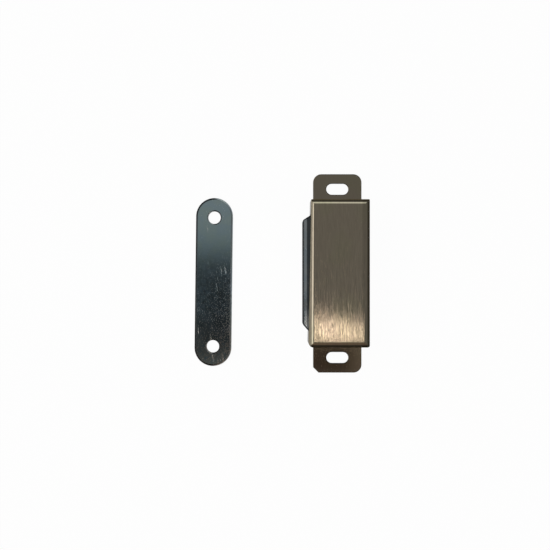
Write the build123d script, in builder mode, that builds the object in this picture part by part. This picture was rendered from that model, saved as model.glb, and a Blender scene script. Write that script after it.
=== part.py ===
"""Magnetic catch: a folded sheet case with two slotted ears, a self-aligning magnet pack and a strike plate.

Frame, in millimetres: the origin is midway between the two screw slots, on the plane that the case is
screwed down to. +X runs along the case, +Y is the way the poles face and +Z rises out of that plane.
"""

import os

from build123d import *

# ---------------------------------------------------------------- case sheet
slot_pitch = 55.0  # between the middles of the two screw slots
slot_width = 3.6  # passes a 3.5 mm wood screw
slot_length = 7.2  # end to end, across the case, for setting the depth
slot_to_tip = 4.9  # middle of a slot to the tip of its ear
slot_to_case = 3.95  # middle of a slot to the end wall
sheet = 1.0  # thickness of the folded sheet
case_width = 19.5
case_height = 13.5
ear_set_in = 1.85  # each side of an ear, in from the case's own width
bend_radius = 1.8  # outside radius where the top turns down into the walls
front_lean_in = 0.85  # how far the front wall stands in at its +X end
corner_front_near = 1.7  # plan radius of the front corner at the -X end
corner_back_near = 0.9  # plan radius of the back corner at the -X end
corner_front_far = 0.4  # plan radius of the front corner at the +X end
corner_back_far = 0.5  # plan radius of the back corner at the +X end
least_radius = 0.1  # smallest radius inside a bend
ear_round_far = 2.7  # both corners of the +X ear
ear_round_near = 2.6  # back corner of the -X ear
ear_clip_near = 1.75  # the front corner of the -X ear is cut off straight
ear_root_flat = 0.1  # straight bit of end wall left between corner and ear root
foot_radius = 0.5  # inside radius of the bend from end wall to ear
window_corner_radius = 0.6
edge_break = 0.15  # softened upper rim of the ears and slots

# ---------------------------------------------------------------- magnet pack
pole_thickness = 1.8
pole_proud = 1.75  # how far the pole tips stand out of the front wall
nose_cut_far = 1.4  # length of the slanting cut at the +X end of the nose
nose_cut_near = 2.1  # and at its -X end
nose_depth_far = 2.2  # how far back the +X cut runs
nose_depth_near = 1.8  # and the -X one
nose_tip_radius = 0.8
shoulder_overlap = 2.0  # each side, behind the front wall
shoulder_radius = 0.5
pole_back_radius = 1.0
pole_rim_radius = 0.45  # rolled outer rim of a pole plate
magnet_recess = 3.0  # magnet face behind the pole tips
magnet_inset = 0.4  # magnet narrower than the nose, each side
magnet_back_gap = 0.6  # magnet short of the pole plates' back edge
magnet_chamfer = 0.3

# ---------------------------------------------------------------- holder
holder_wall = 1.2  # back wall and roof
holder_floor = 1.4
holder_end_wall = 1.15
holder_relief = 0.1  # its rounded shoulders over the bends inside the case
holder_corner_radius = 0.35

# ---------------------------------------------------------------- strike plate
strike_length = 54.8
strike_width = 12.0
strike_thickness = 1.8
strike_hole = 4.1
strike_hole_pitch = 42.0
strike_rim_radius = 0.6  # rolled upper rim
strike_hole_radius = 0.35  # rolled rims of the two holes
strike_x = -2.8  # where the loose plate lies beside the case
strike_y = 40.35
strike_turn = -0.7  # degrees about +Z

# ---------------------------------------------------------------- clearances
holder_fit = 0.05  # holder to case walls, each side
pack_lift = 0.15  # pack to floor and to roof
pack_back_clearance = 0.65  # pack to the holder's back wall, either side of the rib
pack_front_clearance = 0.65  # pole shoulders to the front wall
pack_side_clearance = 0.5  # nose to window sides, and shoulders to holder ends
window_top_clearance = 0.35  # upper pole plate to the top of the window
rib_clearance = 0.05  # rib to pack

# ---------------------------------------------------------------- worked out
case_length = slot_pitch - 2 * slot_to_case
overall_length = slot_pitch + 2 * slot_to_tip
ear_width = case_width - 2 * ear_set_in
half_length = case_length / 2
half_width = case_width / 2
half_ear = ear_width / 2
half_pitch = slot_pitch / 2
root_line = half_width - corner_back_near  # back end of the flat of the -X end wall
ear_root_radius = root_line - half_ear - ear_root_flat
front_far = half_width - front_lean_in  # outside of the front wall at its +X end
front_near = half_width  # and at its -X end
front_flat = half_width - bend_radius  # where the flat of the top ends, all along the front
inner_length = half_length - sheet
inner_back = half_width - sheet
front_slope = front_lean_in / case_length
blank_length = half_length + sheet  # the folded blank runs on past both ends before they are bent
blank_far = front_far - front_slope * sheet
blank_near = front_near + front_slope * sheet
tool_far = front_far - front_slope * 2 * sheet  # and the tool for its front bend runs on past the blank
tool_near = front_near + front_slope * 2 * sheet
inner_far = front_far + front_slope * sheet - sheet
inner_near = front_near - front_slope * sheet - sheet
ceiling = case_height - sheet
bend_inside = bend_radius - sheet
foot_outside = foot_radius + sheet
beyond = case_height  # how far a cutting tool reaches past the work

holder_x = inner_length - holder_fit
holder_back = -inner_back + holder_fit
holder_front = inner_far - holder_fit
roof_under = ceiling - holder_wall
pack_bottom = holder_floor + pack_lift
pack_top = roof_under - pack_lift
magnet_bottom = pack_bottom + pole_thickness
upper_bottom = pack_top - pole_thickness
magnet_thickness = upper_bottom - magnet_bottom

pocket_half = holder_x - holder_end_wall
pocket_back = holder_back + holder_wall
shoulder_half = pocket_half - pack_side_clearance
shoulder_front = inner_far - pack_front_clearance
window_half = shoulder_half - shoulder_overlap
window_top = pack_top + window_top_clearance
nose_half = window_half - pack_side_clearance
pole_tip = half_width + pole_proud
pack_back = pocket_back + pack_back_clearance
rib_reach = pack_back_clearance - rib_clearance
magnet_half = nose_half - magnet_inset
magnet_back = pack_back + magnet_back_gap
magnet_front = pole_tip - magnet_recess

# ================================================================ case
# Tools for the front bend, outside and inside: the flat keeps its edge while the bend opens towards -X.
with BuildPart() as outer_bend_tool:
    for station, reach in ((-half_length - 2 * sheet, tool_near), (half_length + 2 * sheet, tool_far)):
        radius = reach - front_flat
        with BuildSketch(Plane.YZ.offset(station)):
            with BuildLine():
                CenterArc((front_flat, case_height - radius), radius, 0, 90)
                Polyline(
                    (front_flat, case_height),
                    (front_flat, case_height + beyond),
                    (front_flat + beyond, case_height + beyond),
                    (front_flat + beyond, case_height - radius),
                    (front_flat + radius, case_height - radius),
                )
            make_face()
    loft(ruled=True)

with BuildPart() as inner_bend_tool:
    for station, reach in ((-half_length, front_near - sheet), (half_length, front_far - sheet)):
        radius = max(reach - front_flat, least_radius)
        with BuildSketch(Plane.YZ.offset(station)):
            with BuildLine():
                CenterArc((front_flat, ceiling - radius), radius, 0, 90)
                Polyline(
                    (front_flat, ceiling),
                    (front_flat, ceiling + beyond),
                    (front_flat + beyond, ceiling + beyond),
                    (front_flat + beyond, ceiling - radius),
                    (front_flat + radius, ceiling - radius),
                )
            make_face()
    loft(ruled=True)

# The hollow of the case, from below its open underside up to the ceiling.
with BuildPart() as hollow:
    with BuildSketch(Plane.XY.offset(-beyond)) as hollow_plan:
        with BuildLine():
            Polyline(
                (inner_length, inner_far),
                (-inner_length, inner_near),
                (-inner_length, -inner_back),
                (inner_length, -inner_back),
                close=True,
            )
        make_face()
        hollow_near = hollow_plan.vertices().group_by(Axis.X)[0].sort_by(Axis.Y)[-1]
        fillet(hollow_near, max(corner_front_near - sheet, least_radius))
    extrude(amount=beyond + ceiling)
    add(inner_bend_tool.part, mode=Mode.SUBTRACT)
    with BuildSketch(Plane.YZ) as hollow_back:
        with Locations((beyond / 2, 0)):
            Rectangle(2 * inner_back + beyond, 2 * ceiling)
        fillet(hollow_back.vertices().group_by(Axis.Y)[-1].sort_by(Axis.X)[0], bend_inside)
    extrude(amount=overall_length, both=True, mode=Mode.INTERSECT)
    with BuildSketch(Plane.XZ) as hollow_ends:
        Rectangle(2 * inner_length, 2 * ceiling)
        fillet(hollow_ends.vertices().group_by(Axis.Y)[-1], bend_inside)
    extrude(amount=overall_length, both=True, mode=Mode.INTERSECT)

# Plan of the case, with the radius of each upright corner.
with BuildSketch() as plan:
    with BuildLine():
        Polyline(
            (half_length, front_far),
            (-half_length, front_near),
            (-half_length, -half_width),
            (half_length, -half_width),
            close=True,
        )
    make_face()
    near = plan.vertices().group_by(Axis.X)[0].sort_by(Axis.Y)
    far = plan.vertices().group_by(Axis.X)[-1].sort_by(Axis.Y)
    fillet(near[-1], corner_front_near)
    fillet(plan.vertices().sort_by_distance(near[0])[0], corner_back_near)
    fillet(plan.vertices().sort_by_distance(far[-1])[0], corner_front_far)
    fillet(plan.vertices().sort_by_distance(far[0])[0], corner_back_far)

# The two ears with their screw slots, as one slab lying on the screwing plane.
with BuildPart() as ears:
    with BuildSketch() as ear_plan:
        Rectangle(overall_length, ear_width)
        with Locations((0, (half_ear - root_line) / 2)):
            Rectangle(case_length, half_ear + root_line)
        far_tips = ear_plan.vertices().group_by(Axis.X)[-1]
        near_tips = ear_plan.vertices().group_by(Axis.X)[0].sort_by(Axis.Y)
        fillet(far_tips, ear_round_far)
        fillet(ear_plan.vertices().sort_by_distance(near_tips[0])[0], ear_round_near)
        chamfer(ear_plan.vertices().sort_by_distance(near_tips[-1])[0], ear_clip_near)
        for end in (-half_length, half_length):
            root = ear_plan.vertices().sort_by_distance(Vector(end, -half_ear, 0))[0]
            fillet(root, ear_root_radius)
        with Locations((-half_pitch, 0), (half_pitch, 0)):
            SlotOverall(slot_length, slot_width, rotation=90, mode=Mode.SUBTRACT)
    extrude(amount=sheet)
    ear_rim = ears.faces().sort_by(Axis.Z)[-1].edges()
    chamfer(ear_rim.sort_by(Axis.Y)[1:], edge_break)

with BuildPart() as case:
    # the block that the sheet wraps, with its front bend
    with BuildSketch():
        with BuildLine():
            Polyline(
                (blank_length, blank_far),
                (-blank_length, blank_near),
                (-blank_length, -half_width),
                (blank_length, -half_width),
                close=True,
            )
        make_face()
    extrude(amount=case_height)
    add(outer_bend_tool.part, mode=Mode.SUBTRACT)

    # bends along the back and both ends, then the upright corners
    with BuildSketch(Plane.YZ) as back_bend:
        with Locations((beyond / 2, 0)):
            Rectangle(case_width + beyond, 2 * case_height)
        fillet(back_bend.vertices().group_by(Axis.Y)[-1].sort_by(Axis.X)[0], bend_radius)
    extrude(amount=overall_length, both=True, mode=Mode.INTERSECT)
    with BuildSketch(Plane.XZ) as end_bends:
        Rectangle(case_length, 2 * case_height)
        fillet(end_bends.vertices().group_by(Axis.Y)[-1], bend_radius)
    extrude(amount=overall_length, both=True, mode=Mode.INTERSECT)
    add(plan.sketch)
    extrude(amount=case_height, mode=Mode.INTERSECT)

    # ears, and the inside of the bend from each end wall to its ear
    add(ears.part)
    with BuildSketch(Plane.XZ) as feet:
        for side in (-1, 1):
            with Locations((side * half_length, sheet)):
                Rectangle(2 * foot_radius, 2 * foot_radius)
            with Locations((side * (half_length + foot_radius), sheet + foot_radius)):
                Circle(foot_radius, mode=Mode.SUBTRACT)
    extrude(amount=half_ear, both=True)

    add(hollow.part, mode=Mode.SUBTRACT)

    # outside of the same bend, under the case
    with BuildSketch(Plane.XZ) as heels:
        for side in (-1, 1):
            with Locations((side * (inner_length + foot_outside / 2), foot_outside / 2)):
                Rectangle(foot_outside, foot_outside)
            with Locations((side * (inner_length + foot_outside), foot_outside)):
                Circle(foot_outside, mode=Mode.SUBTRACT)
    extrude(amount=half_ear, both=True, mode=Mode.SUBTRACT)

    # window for the poles, open at the bottom
    with BuildSketch(Plane.XZ.offset(-front_flat)) as window:
        Rectangle(2 * window_half, 2 * window_top)
        fillet(window.vertices().group_by(Axis.Y)[-1], window_corner_radius)
    extrude(amount=-beyond, mode=Mode.SUBTRACT)

    case.part.label = "case"

# ================================================================ magnet holder
with BuildPart() as magnet_holder:
    # block that fills the case, rounded to clear the bends
    with BuildSketch():
        with Locations((0, (holder_back + holder_front) / 2)):
            Rectangle(2 * holder_x, holder_front - holder_back)
    extrude(amount=ceiling)
    upright = magnet_holder.edges().filter_by(Axis.Z)
    fillet(upright.group_by(Axis.Y)[0], holder_corner_radius)
    top_rim = magnet_holder.faces().sort_by(Axis.Z)[-1].edges()
    fillet(top_rim.sort_by(Axis.Y)[0:-1], bend_inside + holder_relief)

    # tongue that closes the window under the poles
    with BuildSketch():
        with Locations((0, (holder_front + front_far) / 2)):
            Rectangle(2 * (window_half - holder_fit), front_far - holder_front)
    extrude(amount=holder_floor)

    # pocket for the pack, open to the front
    with BuildSketch(Plane.XY.offset(holder_floor)):
        with Locations((0, (pocket_back + beyond) / 2)):
            Rectangle(2 * pocket_half, beyond - pocket_back)
    extrude(amount=roof_under - holder_floor, mode=Mode.SUBTRACT)

    # upright rib that the pack rocks on
    with BuildSketch(Plane.XY.offset(holder_floor)):
        with Locations((0, pocket_back)):
            Circle(rib_reach)
    extrude(amount=roof_under - holder_floor)
    magnet_holder.part.label = "magnet_holder"

# ================================================================ magnet pack
with BuildPart() as pole_blank:
    with BuildSketch(Plane.XY.offset(pack_bottom)) as pole_plan:
        with BuildLine():
            Polyline(
                (-shoulder_half, pack_back),
                (shoulder_half, pack_back),
                (shoulder_half, shoulder_front),
                (nose_half, shoulder_front),
                (nose_half, pole_tip - nose_depth_far),
                (nose_half - nose_cut_far, pole_tip),
                (-nose_half + nose_cut_near, pole_tip),
                (-nose_half, pole_tip - nose_depth_near),
                (-nose_half, shoulder_front),
                (-shoulder_half, shoulder_front),
                close=True,
            )
        make_face()
        tips = pole_plan.vertices().group_by(Axis.Y)[-1]
        back_corners = pole_plan.vertices().group_by(Axis.Y)[0]
        fillet(tips, nose_tip_radius)
        fillet(back_corners, pole_back_radius)
        for side in (-shoulder_half, shoulder_half):
            shoulder = pole_plan.vertices().sort_by_distance(Vector(side, shoulder_front, 0))[0]
            fillet(shoulder, shoulder_radius)
    extrude(amount=pole_thickness)

with BuildPart() as pole_plate_lower:
    add(pole_blank.part)
    fillet(pole_plate_lower.faces().sort_by(Axis.Z)[0].edges(), pole_rim_radius)
    pole_plate_lower.part.label = "pole_plate_lower"

with BuildPart() as pole_plate_upper:
    with Locations((0, 0, upper_bottom - pack_bottom)):
        add(pole_blank.part)
    fillet(pole_plate_upper.faces().sort_by(Axis.Z)[-1].edges(), pole_rim_radius)
    pole_plate_upper.part.label = "pole_plate_upper"

with BuildPart() as magnet:
    with BuildSketch(Plane.XY.offset(magnet_bottom)) as magnet_plan:
        with Locations((0, (magnet_back + magnet_front) / 2)):
            Rectangle(2 * magnet_half, magnet_front - magnet_back)
        chamfer(magnet_plan.vertices(), magnet_chamfer)
    extrude(amount=magnet_thickness)
    magnet.part.label = "magnet"

# ================================================================ strike plate
with BuildPart() as strike_plate:
    with BuildSketch(Plane(Location((strike_x, strike_y, 0), (0, 0, strike_turn)))):
        SlotOverall(strike_length, strike_width)
        with Locations((-strike_hole_pitch / 2, 0), (strike_hole_pitch / 2, 0)):
            Circle(strike_hole / 2, mode=Mode.SUBTRACT)
    extrude(amount=strike_thickness)
    strike_face = strike_plate.faces().sort_by(Axis.Z)[-1]
    fillet(strike_face.outer_wire().edges(), strike_rim_radius)
    strike_face = strike_plate.faces().sort_by(Axis.Z)[-1]
    fillet(strike_face.inner_wires().edges(), strike_hole_radius)
    strike_plate.part.label = "strike_plate"

os.makedirs("parts", exist_ok=True)
export_step(case.part, "parts/case.step")
export_step(magnet_holder.part, "parts/magnet_holder.step")
export_step(pole_plate_lower.part, "parts/pole_plate_lower.step")
export_step(pole_plate_upper.part, "parts/pole_plate_upper.step")
export_step(magnet.part, "parts/magnet.step")
export_step(strike_plate.part, "parts/strike_plate.step")
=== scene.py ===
"""Magnetic catch and its strike plate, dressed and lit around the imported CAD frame.

The row frame is in metres: +X runs along the case, +Y is the way the poles face and +Z rises from
the screwing plane. The sheet case carries a satin brushed by long strokes, the pole plates and the
strike plate are blue zinc, the magnet is grey ferrite and the holder is moulded plastic.
"""

from __future__ import annotations

import logging
import math
from dataclasses import dataclass
from enum import Enum
from typing import Any, Iterable, Sequence, Union

import bmesh
import bpy
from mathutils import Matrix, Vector

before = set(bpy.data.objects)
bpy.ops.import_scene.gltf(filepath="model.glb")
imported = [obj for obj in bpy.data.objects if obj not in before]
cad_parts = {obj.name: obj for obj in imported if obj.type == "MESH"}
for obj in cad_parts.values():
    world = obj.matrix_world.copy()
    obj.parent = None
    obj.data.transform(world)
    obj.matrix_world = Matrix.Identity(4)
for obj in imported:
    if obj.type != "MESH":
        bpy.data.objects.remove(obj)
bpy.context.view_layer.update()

logging.basicConfig(level=logging.INFO, format="%(name)s: %(message)s")
log = logging.getLogger("catch")

Colour = tuple[float, float, float]
Point = tuple[float, float, float]
Pair = tuple[float, float]
Span = tuple[float, float]
Number = Union[float, "Signal"]
MM = 0.001
WHITE: Colour = (1.0, 1.0, 1.0)


# ------------------------------------------------------------------ shader maths
class Signal:
    """One output socket of a node tree, on which Python's own arithmetic works."""

    def __init__(self, bench: "Bench", socket: bpy.types.NodeSocket) -> None:
        """Wraps a socket.

        Args:
            bench: The bench that adds the nodes.
            socket: The output that carries the value.
        """
        self.bench = bench
        self.socket = socket

    def _maths(self, operation: str, *values: Number) -> "Signal":
        """Adds one Math node and returns its output."""
        return self.bench.node("ShaderNodeMath", {"operation": operation}, dict(enumerate(values)))

    def __add__(self, other: Number) -> "Signal":
        """Sum."""
        return self._maths("ADD", self, other)

    __radd__ = __add__

    def __sub__(self, other: Number) -> "Signal":
        """Difference."""
        return self._maths("SUBTRACT", self, other)

    def __rsub__(self, other: Number) -> "Signal":
        """Difference, reflected."""
        return self._maths("SUBTRACT", other, self)

    def __mul__(self, other: Number) -> "Signal":
        """Product."""
        return self._maths("MULTIPLY", self, other)

    __rmul__ = __mul__

    def __truediv__(self, other: Number) -> "Signal":
        """Quotient."""
        return self._maths("DIVIDE", self, other)

    def __abs__(self) -> "Signal":
        """Magnitude."""
        return self._maths("ABSOLUTE", self)

    def at_most(self, other: Number) -> "Signal":
        """The smaller of the two."""
        return self._maths("MINIMUM", self, other)

    def at_least(self, other: Number) -> "Signal":
        """The larger of the two."""
        return self._maths("MAXIMUM", self, other)

    def down_to(self, level: float) -> "Signal":
        """A share of 1 where this is 0, and of level where it is 1."""
        return self * (level - 1.0) + 1.0

    def towards(self, other: Number, share: "Signal") -> "Signal":
        """This where share is 0, and the other where it is 1."""
        return self + (other - self) * share

    def rise(self, start: float, end: float) -> "Signal":
        """A smooth step.

        Args:
            start: Where it is 0.
            end: Where it is 1; it may be the smaller of the two.

        Returns:
            The step, held at 0 and 1 outside the two.
        """
        settings = {"interpolation_type": "SMOOTHSTEP", "clamp": True}
        if start < end:
            return self.bench.node("ShaderNodeMapRange", settings, {0: self, 1: start, 2: end})
        return self.bench.node(
            "ShaderNodeMapRange", settings, {0: self, 1: end, 2: start, 3: 1.0, 4: 0.0}
        )


class Bench:
    """Adds nodes to one tree."""

    def __init__(self, tree: bpy.types.NodeTree) -> None:
        """Empties a tree to work on it.

        Args:
            tree: The tree of a material, world or lamp.
        """
        self.tree = tree
        tree.nodes.clear()

    def node(
        self,
        kind: str,
        settings: dict[str, Any] | None = None,
        inputs: dict[Any, Any] | None = None,
        output: Any = 0,
    ) -> Signal:
        """Adds any node.

        Args:
            kind: The node's type.
            settings: Properties of the node, set first.
            inputs: A value or a Signal for each input, by name or place.
            output: Which output to return, by name or place.

        Returns:
            The chosen output.
        """
        made = self.tree.nodes.new(kind)
        for name, value in (settings or {}).items():
            setattr(made, name, value)
        for name, value in (inputs or {}).items():
            if isinstance(value, Signal):
                self.tree.links.new(value.socket, made.inputs[name])
            else:
                made.inputs[name].default_value = value
        return Signal(self, made.outputs[output]) if made.outputs else Signal(self, None)

    def split(self, vector: Signal) -> tuple[Signal, Signal, Signal]:
        """The three parts of a vector.

        Args:
            vector: The vector.

        Returns:
            Its X, Y and Z.
        """
        first = self.node("ShaderNodeSeparateXYZ", None, {0: vector})
        outputs = first.socket.node.outputs
        return tuple(Signal(self, outputs[place]) for place in range(3))

    def join(self, x: Number, y: Number, z: Number) -> Signal:
        """A vector of three values."""
        return self.node("ShaderNodeCombineXYZ", None, {0: x, 1: y, 2: z})

    def blend(self, share: Number, first: Any, second: Any) -> Signal:
        """A colour that goes from first to second as share goes from 0 to 1."""
        inputs = {0: share, 6: self._colour(first), 7: self._colour(second)}
        return self.node("ShaderNodeMix", {"data_type": "RGBA"}, inputs, 2)

    def tint(self, colour: Any, strength: Number) -> Signal:
        """A colour times a number."""
        inputs = {0: self._plain(colour), 3: strength}
        return self.node("ShaderNodeVectorMath", {"operation": "SCALE"}, inputs)

    def total(self, first: Any, second: Any) -> Signal:
        """Two colours added."""
        inputs = {0: self._plain(first), 1: self._plain(second)}
        return self.node("ShaderNodeVectorMath", {"operation": "ADD"}, inputs)

    def bump(self, depth: float, height: Signal) -> Signal:
        """A surface that stands up by depth where height is 1."""
        inputs = {"Strength": 1.0, "Distance": depth, "Height": height}
        return self.node("ShaderNodeBump", None, inputs)

    def noise(
        self, vector: Signal, scale: float, detail: float = 2.0, rough: float = 0.5
    ) -> Signal:
        """Noise about 0.5.

        Args:
            vector: Where to look it up.
            scale: Its frequency on that vector.
            detail: Octaves.
            rough: How much each octave adds.

        Returns:
            The noise's value.
        """
        inputs = {"Vector": vector, "Scale": scale, "Detail": detail, "Roughness": rough}
        return self.node("ShaderNodeTexNoise", {"noise_dimensions": "3D"}, inputs)

    @staticmethod
    def _colour(value: Any) -> Any:
        """A colour with its fourth part, or the Signal as it is."""
        return value if isinstance(value, Signal) else (*value, 1.0)

    @staticmethod
    def _plain(value: Any) -> Any:
        """A colour of three parts, or the Signal as it is."""
        return value if isinstance(value, Signal) else tuple(value)


# ------------------------------------------------------------------ finishes
@dataclass(frozen=True)
class Finish:
    """What every finish shares: a name, a colour and a gloss."""

    name: str
    colour: Colour
    roughness: float

    def material(self) -> bpy.types.Material:
        """Makes the material.

        Returns:
            A material whose tree is ready.
        """
        made = bpy.data.materials.new(self.name)
        made.use_nodes = True
        bench = Bench(made.node_tree)
        place = bench.node("ShaderNodeTexCoord", None, None, "Object")
        facing = bench.node("ShaderNodeTexCoord", None, None, "Normal")
        inputs = self.surface(bench, place, facing)
        shader = bench.node("ShaderNodeBsdfPrincipled", None, inputs)
        bench.node("ShaderNodeOutputMaterial", None, {"Surface": shader})
        return made

    def surface(self, bench: Bench, place: Signal, facing: Signal) -> dict[str, Any]:
        """The inputs of the shader; each kind of finish gives its own.

        Args:
            bench: Where the nodes go.
            place: Object coordinates, in metres.
            facing: The surface's direction.

        Returns:
            Values and signals by the name of the shader's socket.
        """
        raise NotImplementedError


@dataclass(frozen=True)
class BrushedSatin(Finish):
    """Bronzed sheet, folded, then brushed along its top face; painted shade darkens its bends,
    walls and ears.

    A tone or share says how bright the bronze is left, where 1 is its own colour. A span says where
    something starts to show and where it shows in full: by how much the surface faces along an axis
    for the bends, ends and walls, and by place on the sheet for the rest.
    """

    stroke_length: float = 3.0 * MM
    stroke_width: float = 0.30 * MM
    stroke_depth: float = 0.0060 * MM
    stroke_contrast: float = 0.36
    brushed_contrast: float = 0.20
    worn_contrast: float = -0.24
    worn_span: Span = (-6.0 * MM, 6.0 * MM)
    stroke_gloss: float = 0.27
    gloss_stretch: float = 2.2
    gloss_seed: float = 7.3
    unbrushed_depth: float = 0.04
    bend_depth: float = 0.5
    side_span: Span = (0.60, 0.80)

    drift_scale: float = 90.0
    drift_contrast: float = 0.10
    deep_span: Span = (0.40, 0.62)
    deep_tint: Colour = (0.97, 1.0, 0.95)

    top_span: Span = (11.6 * MM, 12.6 * MM)
    gloss_bend_span: Span = (0.90, 0.62)
    # Painted shade on the bends, walls and ears, deeper at the -X end; painted highlight on the +X
    # end bend and the front bend.
    bend_span: Span = (0.94, 0.73)
    bend_shade_tone: float = 0.11
    near_end_span: Span = (-0.15, -0.55)
    near_end_shade_share: float = 0.62
    far_end_span: Span = (0.80, 0.96)
    far_end_highlight_share: float = 4.3
    front_span: Span = (0.15, 0.40)
    front_up_span: Span = (0.10, 0.45)
    front_highlight_tone: float = 0.85
    wall_span: Span = (0.08, 0.02)
    wall_shade_tone: float = 0.36
    ear_shade_tone: float = 0.85
    # Painted shade in the crease at the foot of the end walls and along the back edge of the top.
    crease_shade_span: Span = (2.4 * MM, 1.6 * MM)
    crease_shade_end_span: Span = (0.2, 0.5)
    crease_shade_tone: float = 0.30
    back_edge_shade_span: Span = (-6.7 * MM, -7.9 * MM)
    back_edge_shade_tone: float = 0.80

    wall_roughness: float = 0.12
    ear_roughness: float = 0.03
    least_roughness: float = 0.02
    grazing: Colour = (0.42, 0.38, 0.32)

    def strokes(
        self, bench: Bench, place: Signal, facing: Signal, seed: float, stretch: float
    ) -> Signal:
        """Strokes that follow the sheet over its bends.

        Args:
            bench: Where the nodes go.
            place: Object coordinates.
            facing: The surface's direction.
            seed: Shifts the pattern, so that two calls differ.
            stretch: How much longer than the plain stroke they are.

        Returns:
            A value about 0.
        """
        x, y, z = bench.split(place)
        _, side, _ = bench.split(facing)
        along = 1.0 / (self.stroke_length * stretch)
        across = 1.0 / self.stroke_width
        top = bench.noise(bench.join(x * along + seed, y * across, z * along), 1.0)
        wall = bench.noise(bench.join(x * along + seed, z * across, y * along), 1.0)
        return top.towards(wall, abs(side).rise(*self.side_span)) - 0.5

    def painted_light_and_shade(self, end: Signal, front: Signal, up: Signal, top: Signal) -> Signal:
        """Painted light and shade: full colour on the brushed top, painted shade on the ears, walls
        and most of all the bends.

        Args:
            end: How much the surface faces along X.
            front: How much it faces along Y.
            up: How much it faces along Z.
            top: 1 on the top face and 0 below it.

        Returns:
            A share of the colour.
        """
        # Painted shade by facing: darkest on the bends, deeper at the -X end, lighter on walls and
        # ears; painted highlight on the +X end and front bends.
        bend = abs(up).rise(*self.bend_span)
        wall = abs(up).rise(*self.wall_span)
        front_bend = front.rise(*self.front_span) * abs(up).rise(*self.front_up_span)
        near_end = end.rise(*self.near_end_span)
        far_end = end.rise(*self.far_end_span)
        ends = near_end * (self.near_end_shade_share - 1.0) + far_end * (self.far_end_highlight_share - 1.0)
        dark = (ends + 1.0) * self.bend_shade_tone
        folded = dark.towards(self.wall_shade_tone, wall).towards(self.front_highlight_tone, front_bend)
        flat = top * (1.0 - self.ear_shade_tone) + self.ear_shade_tone
        return flat.towards(folded, bend)

    def painted_crease_and_edge_shade(self, bench: Bench, place: Signal, end: Signal, top: Signal) -> Signal:
        """Painted shade in the crease at the foot of the end walls, and painted shade along the
        back edge of the top.

        Args:
            bench: Where the nodes go.
            place: Object coordinates.
            end: How much the surface faces along X.
            top: 1 on the top face and 0 below it.

        Returns:
            A share of the colour.
        """
        _, depth, height = bench.split(place)
        # Painted shade in the crease and along the back edge.
        crease_shade = height.rise(*self.crease_shade_span) * abs(end).rise(*self.crease_shade_end_span)
        back_edge_shade = depth.rise(*self.back_edge_shade_span) * top
        return crease_shade.down_to(self.crease_shade_tone) * back_edge_shade.down_to(self.back_edge_shade_tone)

    def surface(self, bench: Bench, place: Signal, facing: Signal) -> dict[str, Any]:
        """Strokes vary the tone, the gloss and the surface; painted shade darkens the bends, walls,
        ears and creases.

        Args:
            bench: Where the nodes go.
            place: Object coordinates.
            facing: The surface's direction.

        Returns:
            Values and signals by the name of the shader's socket.
        """
        length, _, height = bench.split(place)
        end, front, up = bench.split(facing)
        top = height.rise(*self.top_span)
        bend = abs(up).rise(*self.gloss_bend_span)
        stroke = self.strokes(bench, place, facing, 0.0, 1.0)
        second = self.strokes(bench, place, facing, self.gloss_seed, self.gloss_stretch)
        drift = bench.noise(place, self.drift_scale)
        worn = length.rise(*self.worn_span) * self.worn_contrast
        contrast = top * self.brushed_contrast + self.stroke_contrast + worn
        tone = stroke * contrast + (drift - 0.5) * self.drift_contrast + 1.0
        deep = tuple(part * tint for part, tint in zip(self.colour, self.deep_tint))
        plating = bench.blend(drift.rise(*self.deep_span), self.colour, deep)
        brushed = top * (1.0 - self.unbrushed_depth) + self.unbrushed_depth
        worked = brushed.at_least(bend * self.bend_depth)
        smooth = top * (self.roughness - self.ear_roughness) + self.ear_roughness
        gloss = smooth.towards(self.wall_roughness, bend) + second * self.stroke_gloss * worked
        # Painted light and shade, multiplied into the base colour.
        painted_shading = self.painted_light_and_shade(end, front, up, top) * self.painted_crease_and_edge_shade(bench, place, end, top)
        return {
            "Base Color": bench.tint(plating, tone * painted_shading),
            "Metallic": 1.0,
            "Specular Tint": (*self.grazing, 1.0),
            "Roughness": gloss.at_least(self.least_roughness),
            "Normal": bench.bump(self.stroke_depth, stroke * worked),
        }


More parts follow.
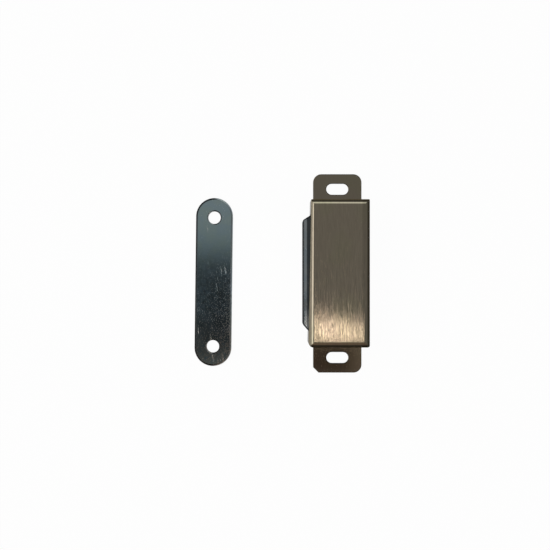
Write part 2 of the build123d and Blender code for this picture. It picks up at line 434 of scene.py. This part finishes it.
@dataclass(frozen=True)
class ZincPlate(Finish):
    """Blue zinc over blanked steel: faint clouds, handling scratches and painted shade on rolled
    rims and cut faces.

    Tones, shares and spans are meant as in the case's satin. A contrast is how much of a pattern
    shows in the colour, and a gloss is how much of it shows in the roughness.
    """

    cool: Colour = (0.53, 0.62, 0.67)
    cloud_size: float = 3.5 * MM
    cloud_span: Span = (0.34, 0.66)
    cloud_contrast: float = 0.16
    cloud_gloss: float = 0.04
    grain_scale: float = 2600.0
    grain_contrast: float = 0.08
    scratch_along: Pair = (150.0, 55.0)
    scratch_across: Pair = (-260.0, 1900.0)
    scratch_down: float = 300.0
    scratch_span: Span = (0.66, 0.73)
    rare_scale: float = 130.0
    rare_span: Span = (0.45, 0.62)
    scratch_tone: float = 0.30
    scratch_gloss: float = 0.10
    scratch_height: float = 3.0
    wear_depth: float = 0.001 * MM
    # Painted shade on the rolled rims and the cut faces; the edge span also sets the rims'
    # roughness.
    edge_span: Span = (0.998, 0.96)
    edge_shade_tone: float = 0.30
    edge_roughness: float = 0.20
    face_span: Span = (0.30, 0.10)
    face_shade_tone: float = 0.45
    grazing: Colour = (0.35, 0.37, 0.38)

    def painted_rim_shading(self, side: Signal, up: Signal) -> Signal:
        """Painted shade on the rolled rims and the cut faces.

        Args:
            side: How much the surface faces along Y, which this plain rim doesn't use.
            up: How much it faces along Z.

        Returns:
            A share of the colour.
        """
        edge = abs(up).rise(*self.edge_span)
        face = abs(up).rise(*self.face_span)
        painted_shading = face * (self.face_shade_tone - self.edge_shade_tone) + self.edge_shade_tone
        return edge * (painted_shading - 1.0) + 1.0

    def marks_and_painted_shade(self, bench: Bench, place: Signal, plating: Signal) -> Signal:
        """What use has left on the plating, and painted shade; plain here.

        Args:
            bench: Where the nodes go, which this plain version doesn't use.
            place: Object coordinates, which this plain version doesn't use.
            plating: The colour so far.

        Returns:
            The colour with its marks.
        """
        return plating

    def scratches(self, bench: Bench, place: Signal) -> Signal:
        """A few fine scratches, mostly along the piece.

        Args:
            bench: Where the nodes go.
            place: Object coordinates.

        Returns:
            1 on a scratch and 0 beside it.
        """
        x, y, z = bench.split(place)
        along = x * self.scratch_along[0] + y * self.scratch_along[1]
        across = x * self.scratch_across[0] + y * self.scratch_across[1]
        lines = bench.noise(bench.join(along, across, z * self.scratch_down), 1.0, detail=1.0)
        rare = bench.noise(place, self.rare_scale, detail=1.0).rise(*self.rare_span)
        return lines.rise(*self.scratch_span) * rare

    def surface(self, bench: Bench, place: Signal, facing: Signal) -> dict[str, Any]:
        """Clouds drift between two tints, under grain and scratches.

        Args:
            bench: Where the nodes go.
            place: Object coordinates.
            facing: The surface's direction.

        Returns:
            Values and signals by the name of the shader's socket.
        """
        _, side, up = bench.split(facing)
        edge = abs(up).rise(*self.edge_span)
        cloud = bench.noise(place, 1.0 / self.cloud_size, detail=3.0, rough=0.55)
        grain = bench.noise(place, self.grain_scale, rough=0.6)
        scratch = self.scratches(bench, place)
        plating = bench.blend(cloud.rise(*self.cloud_span), self.colour, self.cool)
        clouded = (cloud - 0.5) * self.cloud_contrast + (grain - 0.5) * self.grain_contrast
        tone = clouded + scratch * self.scratch_tone + 1.0
        gloss = edge * (self.edge_roughness - self.roughness) + self.roughness
        worn = (cloud - 0.5) * self.cloud_gloss + scratch * self.scratch_gloss
        return {
            # The base colour carries the painted rim shade.
            "Base Color": bench.tint(self.marks_and_painted_shade(bench, place, plating), self.painted_rim_shading(side, up) * tone),
            "Metallic": 1.0,
            "Specular Tint": (*self.grazing, 1.0),
            "Roughness": worn + gloss,
            "Normal": bench.bump(self.wear_depth, grain + scratch * self.scratch_height),
        }


@dataclass(frozen=True)
class PoleZinc(ZincPlate):
    """The pole plates, bright at their tips, with painted shade on their rims and beside the case.
    """

    edge_span: Span = (0.9995, 0.985)
    # Painted shade on the rims only; the cut faces keep their full colour.
    edge_shade_tone: float = 0.06
    face_shade_tone: float = 1.0
    ragged_scale: float = 900.0
    ragged_reach: float = 0.20 * MM
    # Painted shade on the plates beside the case's lip.
    gap_shade_span: Span = (10.47 * MM, 10.17 * MM)
    gap_shade_tone: float = 0.22

    def marks_and_painted_shade(self, bench: Bench, place: Signal, plating: Signal) -> Signal:
        """Painted shade on the plates beside the case's lip.

        Args:
            bench: Where the nodes go.
            place: Object coordinates.
            plating: The colour so far.

        Returns:
            The colour under its painted shade.
        """
        _, y, _ = bench.split(place)
        ragged = bench.noise(place, self.ragged_scale) * self.ragged_reach
        # Painted shade with a ragged edge beside the case's lip.
        gap_shade = (y + ragged).rise(*self.gap_shade_span)
        return bench.tint(plating, gap_shade.down_to(self.gap_shade_tone))


@dataclass(frozen=True)
class StrikeZinc(ZincPlate):
    """The strike plate, spotted and browned towards its -X end."""

    edge_span: Span = (0.9997, 0.992)
    # Painted shade on the rims.
    edge_shade_tone: float = 0.05
    spots_span: Span = (8.0 * MM, -8.0 * MM)
    blotch_scale: float = 950.0
    blotch_contrast: float = 2.4
    speck_scale: float = 1500.0
    speck_span: Span = (0.68, 0.78)
    speck_tone: float = 0.9
    brown_span: Span = (-8.0 * MM, -26.0 * MM)
    brown: Colour = (0.46, 0.41, 0.36)
    brown_blotch_span: Span = (0.30, 0.55)
    # Painted highlight along the -Y rim.
    rubbed_and_highlight_span: Span = (0.02, -0.12)
    rubbed_and_highlight_tone: float = 0.70

    def painted_rim_shading(self, side: Signal, up: Signal) -> Signal:
        """Painted shade on the rims as on any zinc plate, but a painted highlight along the -Y
        edge.

        Args:
            side: How much the surface faces along Y.
            up: How much it faces along Z.

        Returns:
            A share of the colour.
        """
        # Painted highlight along the -Y rim.
        rubbed_and_highlight = side.rise(*self.rubbed_and_highlight_span) * self.rubbed_and_highlight_tone
        return super().painted_rim_shading(side, up).towards(1.0, rubbed_and_highlight)

    def marks_and_painted_shade(self, bench: Bench, place: Signal, plating: Signal) -> Signal:
        """Dark spots and pale specks, and a brown stain at one end.

        Args:
            bench: Where the nodes go.
            place: Object coordinates.
            plating: The colour so far.

        Returns:
            The colour with its marks.
        """
        x, _, _ = bench.split(place)
        blotch = bench.noise(place, self.blotch_scale, detail=4.0, rough=0.75)
        speck = bench.noise(place, self.speck_scale, detail=1.0).rise(*self.speck_span)
        dark = (blotch - 0.5) * self.blotch_contrast
        spots = x.rise(*self.spots_span) * (dark + speck * self.speck_tone)
        stain = x.rise(*self.brown_span) * blotch.rise(*self.brown_blotch_span)
        spotted = bench.tint(plating, spots + 1.0)
        return bench.blend(stain, spotted, bench.tint(self.brown, dark + 1.0))


@dataclass(frozen=True)
class Ferrite(Finish):
    """Sintered ferrite: dull grey with a fine grain and a few rubbed spots."""

    grain_scale: float = 3200.0
    grain_contrast: float = 0.7
    grain_gloss: float = 0.2
    grain_depth: float = 0.03 * MM
    rubbed_scale: float = 420.0
    rubbed_and_highlight_span: Span = (0.56, 0.72)
    rubbed_and_highlight_tone: float = 0.35
    rubbed_gloss: float = 0.12

    def surface(self, bench: Bench, place: Signal, facing: Signal) -> dict[str, Any]:
        """Grain for the tone and the surface, and spots that are paler and smoother.

        Args:
            bench: Where the nodes go.
            place: Object coordinates.
            facing: The surface's direction, which this finish doesn't use.

        Returns:
            Values and signals by the name of the shader's socket.
        """
        grain = bench.noise(place, self.grain_scale, detail=3.0, rough=0.65)
        rubbed_and_highlight = bench.noise(place, self.rubbed_scale).rise(*self.rubbed_and_highlight_span)
        tone = (grain - 0.5) * self.grain_contrast + rubbed_and_highlight * self.rubbed_and_highlight_tone + 1.0
        dull = (grain - 0.5) * self.grain_gloss + self.roughness
        return {
            "Base Color": bench.tint(self.colour, tone),
            "Roughness": dull - rubbed_and_highlight * self.rubbed_gloss,
            "Specular IOR Level": 0.5,
            "Normal": bench.bump(self.grain_depth, grain),
        }


@dataclass(frozen=True)
class MouldedPlastic(Finish):
    """Moulded plastic with a fine spark-eroded texture and slow flow marks."""

    texture_scale: float = 5200.0
    texture_gloss: float = 0.12
    texture_depth: float = 0.008 * MM
    flow_scale: float = 160.0
    flow_contrast: float = 0.3

    def surface(self, bench: Bench, place: Signal, facing: Signal) -> dict[str, Any]:
        """Flow marks for the tone, texture for the gloss and the surface.

        Args:
            bench: Where the nodes go.
            place: Object coordinates.
            facing: The surface's direction, which this finish doesn't use.

        Returns:
            Values and signals by the name of the shader's socket.
        """
        texture = bench.noise(place, self.texture_scale)
        flow = bench.noise(place, self.flow_scale)
        return {
            "Base Color": bench.tint(self.colour, (flow - 0.5) * self.flow_contrast + 1.0),
            "Roughness": (texture - 0.5) * self.texture_gloss + self.roughness,
            "Normal": bench.bump(self.texture_depth, texture),
        }


# ------------------------------------------------------------------ studio
class Reach(Enum):
    """How a panel works on the ceiling behind it."""

    ADDS = "adds"
    COVERS = "covers"


@dataclass(frozen=True)
class Panel:
    """A soft-edged rectangle on a far ceiling, measured on a plane at height 1.

    The two ranges are along X and along Y, each with the softness of its two ends. A level is a
    strength, where 1 is white, and a slant leans the high end of the first range along Y.
    """

    name: str
    along: Span
    soft_along: Pair
    across: Span
    soft_across: Pair
    level: float
    colour: Colour = WHITE
    reach: Reach = Reach.ADDS
    slant: float = 0.0

    def share(self, bench: Bench, u: Signal, v: Signal) -> Signal:
        """How much of the panel a direction meets.

        Args:
            bench: Where the nodes go, which this method doesn't use.
            u: The direction's place along X on the ceiling.
            v: Its place along Y.

        Returns:
            A value from 0 to 1.
        """
        low, high = self.along
        soft_low, soft_high = self.soft_along
        near, far = self.across
        soft_near, soft_far = self.soft_across
        slanting = u - v * self.slant
        return (
            u.rise(low - soft_low, low + soft_low)
            * slanting.rise(high + soft_high, high - soft_high)
            * v.rise(near - soft_near, near + soft_near)
            * v.rise(far + soft_far, far - soft_far)
        )


@dataclass(frozen=True)
class Lamp:
    """One soft square lamp that points at the origin and isn't seen itself.

    Its place and side are in metres and its power is in watts.
    """

    name: str
    place: Point
    size: float
    power: float

    def hang(self) -> None:
        """Makes the lamp and links it to the scene."""
        data = bpy.data.lights.new(self.name, "AREA")
        data.shape = "SQUARE"
        data.size = self.size
        data.energy = self.power
        lamp = bpy.data.objects.new(self.name, data)
        lamp.location = self.place
        lamp.rotation_euler = (-Vector(self.place)).to_track_quat("-Z", "Y").to_euler()
        lamp.visible_camera = False
        lamp.visible_glossy = False
        bpy.context.scene.collection.objects.link(lamp)


@dataclass(frozen=True)
class Studio:
    """Pale floor, far ceiling with soft panels, two soft lamps and the camera."""

    panels: Sequence[Panel]
    lamps: Sequence[Lamp] = (
        Lamp("key_lamp", (0.06, 0.55, 0.55), 0.45, 3.2),
        Lamp("fill_lamp", (-0.25, -0.35, 0.70), 0.60, 3.0),
    )
    eye: Point = (-0.00052, 0.02035, 0.380)
    quarter_turn: float = -math.pi / 2
    lens: float = 75.96
    sensor: float = 36.0
    near_clip: float = 0.01
    ceiling_level: float = 0.21
    horizon_level: float = 0.26
    climb_span: Span = (0.10, 0.85)
    least_rise: float = 0.03
    floor_colour: Colour = (0.45, 0.45, 0.447)
    floor_half: float = 1.6
    floor_drop: float = 0.05 * MM
    floor_seen: float = 0.97
    floor_mirrored: float = 0.45

    def build(self) -> None:
        """Makes everything that isn't the object."""
        scene = bpy.context.scene
        scene.view_settings.view_transform = "Standard"
        self._camera(scene)
        self._world(scene)
        self._floor()
        for lamp in self.lamps:
            lamp.hang()
        log.info("studio ready: %d ceiling panels, %d lamps", len(self.panels), len(self.lamps))

    def _camera(self, scene: bpy.types.Scene) -> None:
        """Looks straight down, with +X upwards in its view.

        Args:
            scene: The scene that it serves.
        """
        data = bpy.data.cameras.new("camera")
        data.sensor_width = self.sensor
        data.lens = self.lens
        data.clip_start = self.near_clip
        camera = bpy.data.objects.new("camera", data)
        camera.location = self.eye
        camera.rotation_euler = (0.0, 0.0, self.quarter_turn)
        scene.collection.objects.link(camera)
        scene.camera = camera

    def _world(self, scene: bpy.types.Scene) -> None:
        """The ceiling for every ray but the camera's, which meets plain white.

        Args:
            scene: The scene that it lights.
        """
        world = bpy.data.worlds.new("studio_world")
        scene.world = world
        world.use_nodes = True
        bench = Bench(world.node_tree)
        direction = bench.node("ShaderNodeTexCoord", None, None, "Generated")
        x, y, z = bench.split(direction)
        height = z.at_least(self.least_rise)
        u, v = x / height, y / height
        climb = z.rise(*self.climb_span) * (self.ceiling_level - self.horizon_level)
        glow = bench.tint(WHITE, climb + self.horizon_level)
        for panel in self.panels:
            share = panel.share(bench, u, v)
            lit = tuple(part * panel.level for part in panel.colour)
            if panel.reach is Reach.COVERS:
                glow = bench.blend(share, glow, lit)
            else:
                glow = bench.total(glow, bench.tint(lit, share))
        seen = bench.node("ShaderNodeLightPath", None, None, "Is Camera Ray")
        light = bench.node("ShaderNodeBackground", None, {"Color": glow, "Strength": 1.0})
        plain = {"Color": (*WHITE, 1.0), "Strength": 1.0}
        white = bench.node("ShaderNodeBackground", None, plain)
        mixed = bench.node("ShaderNodeMixShader", None, {0: seen, 1: light, 2: white})
        bench.node("ShaderNodeOutputWorld", None, {"Surface": mixed})

    def _floor(self) -> None:
        """A plain pale floor that is nearly white to the eye and keeps a soft shadow."""
        form = bmesh.new()
        bmesh.ops.create_grid(form, x_segments=1, y_segments=1, size=self.floor_half)
        bmesh.ops.translate(form, verts=form.verts, vec=(0.0, 0.0, -self.floor_drop))
        mesh = bpy.data.meshes.new("floor")
        form.to_mesh(mesh)
        form.free()
        floor = bpy.data.objects.new("floor", mesh)
        bpy.context.scene.collection.objects.link(floor)
        made = bpy.data.materials.new("floor_paper")
        made.use_nodes = True
        bench = Bench(made.node_tree)
        seen = bench.node("ShaderNodeLightPath", None, None, "Is Camera Ray")
        glossy = bench.node("ShaderNodeLightPath", None, None, "Is Glossy Ray")
        clear = bench.node("ShaderNodeLightPath", None, None, "Is Transmission Ray")
        mirrored = glossy * self.floor_mirrored + clear * self.floor_mirrored
        share = (seen * self.floor_seen + mirrored).at_most(1.0)
        paper = bench.node("ShaderNodeBsdfDiffuse", None, {"Color": (*self.floor_colour, 1.0)})
        plain = {"Color": (*WHITE, 1.0), "Strength": 1.0}
        white = bench.node("ShaderNodeEmission", None, plain)
        mixed = bench.node("ShaderNodeMixShader", None, {0: share, 1: paper, 2: white})
        bench.node("ShaderNodeOutputMaterial", None, {"Surface": mixed})
        mesh.materials.append(made)


# ------------------------------------------------------------------ sub-assemblies
def dress(nodes: Iterable[str], finish: Finish) -> None:
    """Gives CAD nodes one finish.

    Args:
        nodes: Their names.
        finish: The finish.
    """
    material = finish.material()
    for name in nodes:
        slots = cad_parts[name].data.materials
        slots.clear()
        slots.append(material)
        log.info("%s dressed as %s", name, finish.name)


@dataclass(frozen=True)
class Catch:
    """The case with its holder, and the magnet pack."""

    satin: BrushedSatin = BrushedSatin("case_satin", (0.50, 0.43, 0.325), 0.043)
    zinc: PoleZinc = PoleZinc("pole_zinc", (0.66, 0.72, 0.73), 0.03)
    ferrite: Ferrite = Ferrite("magnet_ferrite", (0.060, 0.060, 0.063), 0.55)
    plastic: MouldedPlastic = MouldedPlastic("holder_plastic", (0.030, 0.030, 0.032), 0.45)

    def build(self) -> None:
        """Dresses the catch's nodes."""
        dress(["case"], self.satin)
        dress(["pole_plate_lower", "pole_plate_upper"], self.zinc)
        dress(["magnet"], self.ferrite)
        dress(["magnet_holder"], self.plastic)


@dataclass(frozen=True)
class StrikePlate:
    """The loose plate that the poles pull on."""

    zinc: StrikeZinc = StrikeZinc("strike_zinc", (0.575, 0.655, 0.65), 0.08)

    def build(self) -> None:
        """Dresses the plate."""
        dress(["strike_plate"], self.zinc)


def ceiling() -> tuple[Panel, ...]:
    """The panels that the metal mirrors, in the order in which they lie over each other.

    Returns:
        The panels.
    """
    warm: Colour = (1.0, 0.86, 0.77)
    cool: Colour = (0.92, 1.0, 0.98)
    brown: Colour = (1.0, 0.80, 0.70)
    rust: Colour = (1.0, 0.75, 0.65)
    blue: Colour = (0.78, 1.0, 1.2)
    pale_blue: Colour = (0.80, 1.0, 1.02)
    return (
        Panel(
            name="tube",
            along=(-0.0552, -0.0276),
            soft_along=(0.0006, 0.0088),
            across=(-0.10, 0.10),
            soft_across=(0.12, 0.03),
            level=2.78,
            colour=warm,
            slant=0.26,
        ),
        Panel(
            name="tube_end",
            along=(-0.0552, -0.049),
            soft_along=(0.0006, 0.004),
            across=(-0.12, 0.05),
            soft_across=(0.03, 0.03),
            level=1.0,
            colour=warm,
        ),
        Panel(
            name="window",
            along=(-1.4, 1.2),
            soft_along=(0.1, 0.1),
            across=(0.37, 1.3),
            soft_across=(0.06, 0.2),
            level=1.2,
        ),
        Panel(
            name="low_window",
            along=(-6.0, 6.0),
            soft_along=(1.0, 1.0),
            across=(1.3, 12.0),
            soft_across=(0.2, 2.0),
            level=0.30,
        ),
        Panel(
            name="far_window",
            along=(0.60, 1.70),
            soft_along=(0.25, 0.5),
            across=(-1.0, 0.24),
            soft_across=(0.2, 0.05),
            level=0.85,
            colour=cool,
        ),
        Panel(
            name="sky",
            along=(-0.10, 0.13),
            soft_along=(0.02, 0.02),
            across=(0.014, 0.13),
            soft_across=(0.006, 0.01),
            level=0.215,
            colour=pale_blue,
            reach=Reach.COVERS,
        ),
        Panel(
            name="strike_glow",
            along=(0.034, 0.12),
            soft_along=(0.018, 0.02),
            across=(0.02, 0.10),
            soft_across=(0.01, 0.02),
            level=0.055,
            colour=rust,
        ),
        Panel(
            name="near_wall",
            along=(-9.0, -0.30),
            soft_along=(2.0, 0.15),
            across=(-0.6, 0.2),
            soft_across=(0.2, 0.04),
            level=0.20,
            colour=brown,
            reach=Reach.COVERS,
        ),
        Panel(
            name="foot",
            along=(-0.088, -0.061),
            soft_along=(0.01, 0.0015),
            across=(-0.10, 0.01),
            soft_across=(0.01, 0.02),
            level=0.082,
            colour=rust,
            reach=Reach.COVERS,
        ),
        Panel(
            name="heel",
            along=(-0.09, -0.061),
            soft_along=(0.01, 0.0015),
            across=(-0.20, -0.068),
            soft_across=(0.02, 0.013),
            level=0.21,
            colour=warm,
            reach=Reach.COVERS,
        ),
        Panel(
            name="gap",
            along=(-0.07, -0.02),
            soft_along=(0.002, 0.002),
            across=(-0.0295, -0.010),
            soft_across=(0.0012, 0.005),
            level=0.12,
            reach=Reach.COVERS,
        ),
        Panel(
            name="keeper",
            along=(-0.076, 0.019),
            soft_along=(0.014, 0.015),
            across=(0.012, 0.086),
            soft_across=(0.01, 0.022),
            level=0.020,
            colour=blue,
            reach=Reach.COVERS,
        ),
    )


def main() -> None:
    """Builds the studio and the pieces."""
    Studio(panels=ceiling()).build()
    Catch().build()
    StrikePlate().build()
    log.info("sizes kept")


if __name__ == "__main__":
    main()
